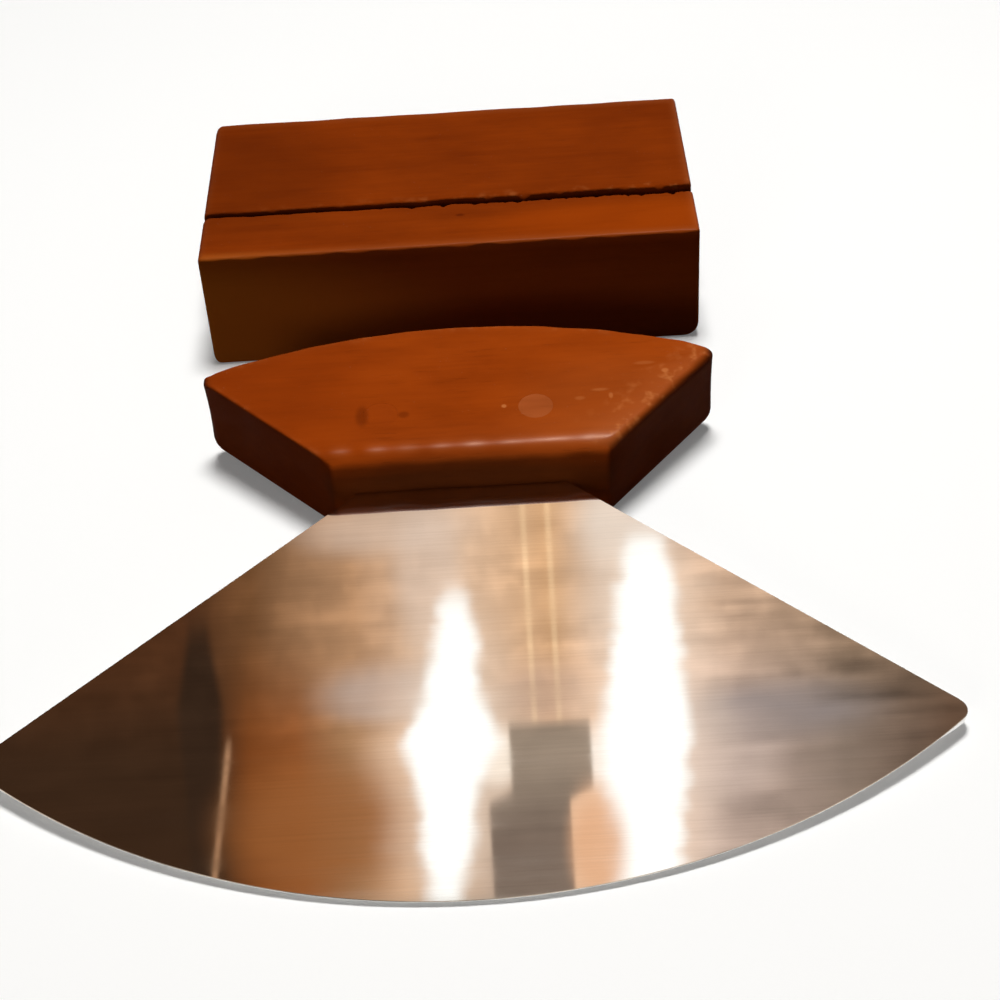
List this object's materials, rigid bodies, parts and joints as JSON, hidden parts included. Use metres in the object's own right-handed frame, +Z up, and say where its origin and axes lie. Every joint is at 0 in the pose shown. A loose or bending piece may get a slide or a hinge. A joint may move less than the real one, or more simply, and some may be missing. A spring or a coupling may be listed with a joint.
{
  "type": "ulu knife with stand",
  "caption": "Ulu knife with a round-edged steel blade pinned into a varnished wood handle, lying in front of its slotted wood block stand.",
  "frame": {"origin": "middle of the stand's base, on the surface that the stand and the knife lie on", "axes": "+Z up, +X along the handle, +Y from the cutting edge towards the back of the stand"},
  "size_m": [0.2034, 0.245, 0.0325],
  "materials": {
    "stand_wood": "orange-brown varnish, satin, fine straight grain",
    "handle_wood": "orange-brown varnish, glossy and worn along the edges",
    "dowel_wood": "end grain, varnished flush with the handle",
    "blade_steel": "near mirror polish with fine brushing along the handle's length"
  },
  "bodies": {
    "stand": {"stand_block": "stand_wood"},
    "knife": {"handle_block": "handle_wood", "blade": "blade_steel", "dowel_left": "dowel_wood", "dowel_right": "dowel_wood"}
  },
  "joints": [
    {"name": "knife_lift", "type": "slide", "parent": "stand", "child": "knife", "axis": [0, 0, 1], "range_m": [0, 0.1]}
  ]
}
